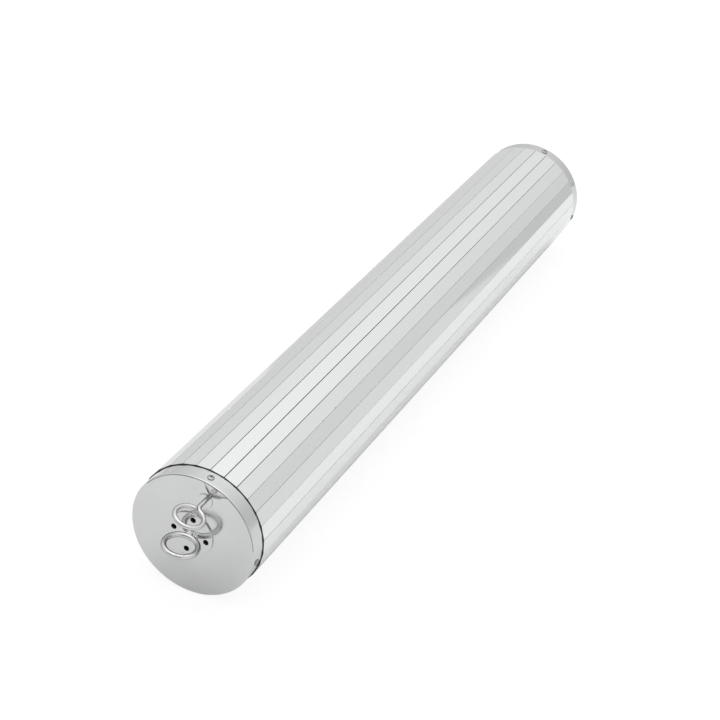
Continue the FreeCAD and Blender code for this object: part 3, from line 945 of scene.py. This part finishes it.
def ring_plate():
    """The round plate with its four open holes, edges eased."""
    holes = [circle_points(PLATE_HOLE_RADIUS, 40, c) for c in circle_points(PLATE_HOLE_CIRCLE / 2, 4)]
    flat, triangles = triangulate(circle_points(PLATE_RADIUS, 160), holes, [])
    count = len(flat)
    points = [Vector((p.x, -PLATE_THICKNESS, p.y)) for p in flat] + [Vector((p.x, 0, p.y)) for p in flat]
    rims = rim_edges(triangles)
    in_hole = [flat[a].length < PLATE_RADIUS - 1 for a, b in rims]
    faces = two_skins(triangles, count) + [(b, a, count + a, count + b) for a, b in rims]
    # The walls of the holes are coloured near black as painted shade; the outer edge keeps the polished
    # sheet.
    kinds = [0] * (2 * len(triangles)) + [int(hole) for hole in in_hole]
    seat = Vector((PLATE_CENTRE.x, RING_FACE, PLATE_CENTRE.z))
    piece = new_piece(
        "ring_plate_disc",
        points,
        faces,
        frame_at(seat, RING_END_TURN),
        [SHEET, PAINTED_SHADE_WALLS],
        "ring_plate",
        face_material=kinds,
    )
    eased = piece.modifiers.new("eased_edges", "BEVEL")
    eased.width = PLATE_EDGE * MM
    eased.segments = 4
    eased.limit_method = "ANGLE"
    eased.harden_normals = True
    eased.material = 0
    smooth(piece, 40)
    return piece


def hanging_ring():
    """A closed ring of thick wire, standing on edge on the plate."""
    path = arc(Vector(), RING_RADIUS, 0, 360, 180)[:-1]
    wire = RING_WIRE - RING_WOBBLE
    points, faces = tube_along(path, Vector((0, 0, 1)), wire, closed=True, wobble=RING_WOBBLE)
    piece = new_piece(
        "hanging_ring_wire",
        points,
        faces,
        frame_at(RING_CENTRE, RING_TURN),
        [RING_STEEL],
        "hanging_ring",
    )
    smooth(piece)
    return piece


def ring_weld():
    """A lumpy weld bead at the ring's foot."""
    rings, around = 40, 96
    half_sizes = Vector((WELD_LENGTH / 2, WELD_HEIGHT, WELD_WIDTH / 2))
    points = []
    for n in range(rings):
        rise = math.pi / 2 * n / rings
        for p in circle_points(math.cos(rise), around):
            out = Vector((p.x, -math.sin(rise), p.y))
            lump = noise.noise(out * 2.6 + Vector((4, 0, 0))) + 0.5 * noise.noise(out * 6.5)
            points.append(out * half_sizes * (1 + WELD_LUMP * lump))
    top = len(points)
    points.append(Vector((0, -WELD_HEIGHT, 0)))
    faces = [(top - around + m, top - around + (m + 1) % around, top) for m in range(around)]
    for n in range(rings - 1):
        for m in range(around):
            here, there = n * around, (n + 1) * around
            turn = (m + 1) % around
            faces.append((here + m, here + turn, there + turn, there + m))
    faces.append(tuple(reversed(range(around))))
    seat = Vector((RING_CENTRE.x, plate_low.y, RING_CENTRE.z))
    piece = new_piece(
        "ring_weld_bead", points, faces, frame_at(seat, RING_TURN), [WELD_STEEL], "ring_weld"
    )
    smooth(piece, 80)
    return piece


ring_plate()
hanging_ring()
ring_weld()


# ---- safety eye --------------------------------------------------------------------------------


def safety_eye():
    """One bent wire: a straight shank, a neck bent to the side, and an eye back to the neck."""
    height = EYE_TOP - EYE_RADIUS - EYE_WIRE
    eye = Vector((0, -height, 0))
    neck_out = math.sqrt(EYE_RADIUS**2 + 2 * EYE_RADIUS * EYE_NECK_BEND)
    neck = Vector((EYE_NECK_BEND, neck_out - height, 0))
    join_angle = math.degrees(math.atan2(neck_out, EYE_NECK_BEND))
    foot = Vector((0, EYE_SHANK_INSIDE, 0))
    shank_steps = 24
    shank = [foot.lerp(Vector((0, neck.y, 0)), n / shank_steps) for n in range(shank_steps)]
    bend = arc(neck, EYE_NECK_BEND, 180, 180 + join_angle, 20)
    loop = arc(eye, EYE_RADIUS, join_angle, EYE_END_GAP - 270, 140)[1:]
    wire = EYE_WIRE - EYE_WOBBLE
    points, faces = tube_along(shank + bend + loop, Vector((0, 0, 1)), wire, wobble=EYE_WOBBLE, seed=7)
    last = len(points) - WIRE_SIDES
    faces.append(tuple(reversed(range(WIRE_SIDES))))
    faces.append(tuple(last + m for m in range(WIRE_SIDES)))
    piece = new_piece(
        "safety_eye_bolt_wire",
        points,
        faces,
        frame_at(EYE_FOOT, EYE_TURN),
        [RING_STEEL],
        "safety_eye_bolt",
        body="safety_eye",
    )
    smooth(piece)
    return piece


safety_eye()


# ---- inner pieces keep their CAD shapes --------------------------------------------------------

INNER_FINISH = {
    "core_tube": TUBE_PLASTIC,
    "ring_end_bulkhead": PLYWOOD,
    "plain_end_bulkhead": PLYWOOD,
    "ring_stud": ZINC_STEEL,
    "stud_washer": ZINC_STEEL,
    "stud_locknut": ZINC_STEEL,
    "eye_washer": ZINC_STEEL,
    "eye_locknut": ZINC_STEEL,
}
for inner_node, finish in INNER_FINISH.items():
    mesh = frame["nodes"][inner_node].data
    mesh.materials.clear()
    mesh.materials.append(finish)


# ---- studio ------------------------------------------------------------------------------------

# The dome's light at the horizon, and how it rises with height: (power of the sine, share) pairs.
HORIZON_LIGHT = 0.75
DOME_RISE = ((2, 0.674), (8, 0.5))
# The room in front of the ring end: the share of the light left there, and between which heights
# and which distances along Y of the view direction it fades out.
FRONT_LIGHT = 0.36
FRONT_TOP = (0.65, 0.45)
FRONT_SIDE = (-0.6, -0.8)

# The floor: half its width in metres, and the plain glow that a share of it shows to the camera.
FLOOR_REACH = 30.0
FLOOR_GLOW = 1.04
FLOOR_GLOW_SHARE = 0.85

# Grey cards that lie on the floor beside the object and only show in its mirrors, where they give
# its edges their tone: (name, low corner, high corner, brightness), in metres.
CARDS = (
    ("card_left_near", (-4.0, -4.0), (-0.25, 0.2), 0.86),
    ("card_left_far", (-4.0, 0.2), (-0.25, 6.0), 0.72),
    ("card_right_near", (0.6, -4.0), (6.0, 1.6), 0.84),
    ("card_right_far", (0.6, 1.6), (6.0, 8.0), 0.655),
)
CARD_HEIGHT = 0.0005


def stage_sheet(name, low, high, height, material):
    """A flat oblong of the stage, between two corners."""
    mesh = bpy.data.meshes.new(name)
    (left, front), (right, rear) = low, high
    corners = [(left, front, height), (right, front, height), (right, rear, height), (left, rear, height)]
    mesh.from_pydata(corners, [], [(0, 1, 2, 3)])
    mesh.materials.append(material)
    sheet = bpy.data.objects.new(name, mesh)
    bpy.context.scene.collection.objects.link(sheet)
    return sheet


def maths(tree, operation, *given):
    """A sum, product or power of numbers and other nodes' sockets."""
    node = tree.nodes.new("ShaderNodeMath")
    node.operation = operation
    for socket, value in zip(node.inputs, given):
        if isinstance(value, bpy.types.NodeSocket):
            tree.links.new(value, socket)
        else:
            socket.default_value = value
    return node.outputs["Value"]


def pale_floor():
    """A wide pale floor, which looks a little brighter to the camera than to the mirrors."""
    material = new_material("pale_floor", roughness=0.9)
    paper = noise_pattern(material, 8, detail=5.0)
    shades(material, paper, (0.865, 0.865, 0.865), (0.875, 0.875, 0.875))
    tree = material.node_tree
    glow = add_node(material, "ShaderNodeEmission", Strength=FLOOR_GLOW)
    seen = tree.nodes.new("ShaderNodeLightPath")
    share = maths(tree, "MULTIPLY", seen.outputs["Is Camera Ray"], FLOOR_GLOW_SHARE)
    mixed = tree.nodes.new("ShaderNodeMixShader")
    tree.links.new(share, mixed.inputs["Fac"])
    tree.links.new(tree.nodes["Principled BSDF"].outputs["BSDF"], mixed.inputs[1])
    tree.links.new(glow.outputs["Emission"], mixed.inputs[2])
    tree.links.new(mixed.outputs["Shader"], tree.nodes["Material Output"].inputs["Surface"])
    stage_sheet("floor", (-FLOOR_REACH, -FLOOR_REACH), (FLOOR_REACH, FLOOR_REACH), 0, material)


def grey_cards():
    """The grey cards, seen in reflections alone."""
    for name, low, high, brightness in CARDS:
        material = bpy.data.materials.new(name)
        material.use_nodes = True
        tree = material.node_tree
        glow = add_node(material, "ShaderNodeEmission", Strength=brightness)
        tree.links.new(glow.outputs["Emission"], tree.nodes["Material Output"].inputs["Surface"])
        card = stage_sheet(name, low, high, CARD_HEIGHT, material)
        card.visible_camera = False
        card.visible_diffuse = False
        card.visible_shadow = False


def step_between(tree, value, start, end):
    """A smooth step from 0 at start to 1 at end."""
    node = tree.nodes.new("ShaderNodeMapRange")
    node.interpolation_type = "SMOOTHSTEP"
    tree.links.new(value, node.inputs["Value"])
    node.inputs["From Min"].default_value = start
    node.inputs["From Max"].default_value = end
    return node.outputs["Result"]


def studio_dome():
    """Soft light from all round, brighter overhead than at the horizon, and a darker room in front."""
    world = bpy.data.worlds.new("studio")
    world.use_nodes = True
    tree = world.node_tree
    background = tree.nodes["Background"]
    coordinates = tree.nodes.new("ShaderNodeTexCoord")
    split = tree.nodes.new("ShaderNodeSeparateXYZ")
    tree.links.new(coordinates.outputs["Generated"], split.inputs["Vector"])
    strength = HORIZON_LIGHT
    for power, share in DOME_RISE:
        rise = maths(tree, "POWER", split.outputs["Z"], power)
        strength = maths(tree, "MULTIPLY_ADD", rise, share, strength)
    low = step_between(tree, split.outputs["Z"], *FRONT_TOP)
    front = step_between(tree, split.outputs["Y"], *FRONT_SIDE)
    kept = maths(tree, "MULTIPLY_ADD", maths(tree, "MULTIPLY", low, front), FRONT_LIGHT - 1, 1.0)
    tree.links.new(maths(tree, "MULTIPLY", strength, kept), background.inputs["Strength"])
    background.inputs["Color"].default_value = (1, 1, 1, 1)
    bpy.context.scene.world = world


def photo_camera():
    """The camera where the photographer's was, turned a little about its own axis."""
    azimuth, elevation = math.radians(CAMERA_AZIMUTH), math.radians(CAMERA_ELEVATION)
    back = Vector((
        math.sin(azimuth) * math.cos(elevation),
        -math.cos(azimuth) * math.cos(elevation),
        math.sin(elevation),
    ))
    data = bpy.data.cameras.new("camera")
    data.sensor_width = 36
    data.lens = CAMERA_LENS
    camera = bpy.data.objects.new("camera", data)
    camera.rotation_mode = "QUATERNION"
    camera.location = CAMERA_AIM + back * CAMERA_DISTANCE
    roll = Quaternion((0, 0, 1), math.radians(CAMERA_ROLL))
    camera.rotation_quaternion = (-back).to_track_quat("-Z", "Y") @ roll
    bpy.context.scene.collection.objects.link(camera)
    bpy.context.scene.camera = camera


pale_floor()
grey_cards()
studio_dome()
photo_camera()
bpy.context.scene.view_settings.view_transform = "Standard"
